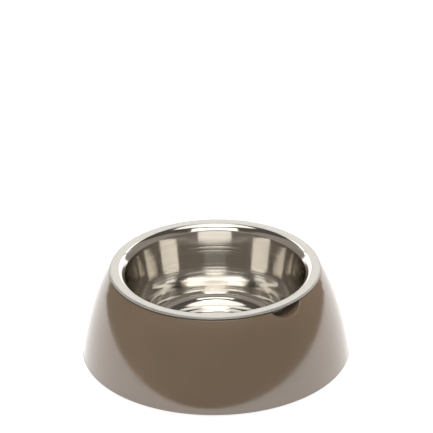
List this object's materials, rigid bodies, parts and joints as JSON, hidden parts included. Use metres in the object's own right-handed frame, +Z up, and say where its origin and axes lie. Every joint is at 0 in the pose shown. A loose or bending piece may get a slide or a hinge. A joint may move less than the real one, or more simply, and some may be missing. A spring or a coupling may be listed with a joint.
{
  "type": "pet food bowl",
  "caption": "Raised pet food bowl: a drawn steel bowl with a flat rim lifts out of a flared, glossy ring stand with finger scallops and rubber feet.",
  "frame": {"origin": "on the floor, under the centre of the ring stand", "axes": "+Z up along the axis of the bowl and stand, +X through the two finger scallops"},
  "size_m": [0.204, 0.204, 0.0705],
  "materials": {
    "stand_plastic": "glossy taupe moulded plastic",
    "foot_rubber": "matt dark rubber",
    "bowl_steel": "polished inside, satin outside"
  },
  "bodies": {
    "stand": {"stand_shell": "stand_plastic", "rubber_foot_1": "foot_rubber", "rubber_foot_2": "foot_rubber", "rubber_foot_3": "foot_rubber", "rubber_foot_4": "foot_rubber"},
    "bowl": {"steel_bowl": "bowl_steel"}
  },
  "joints": [
    {"name": "bowl_lift", "type": "slide", "parent": "stand", "child": "bowl", "axis": [0, 0, 1], "range_m": [0, 0.163]}
  ]
}
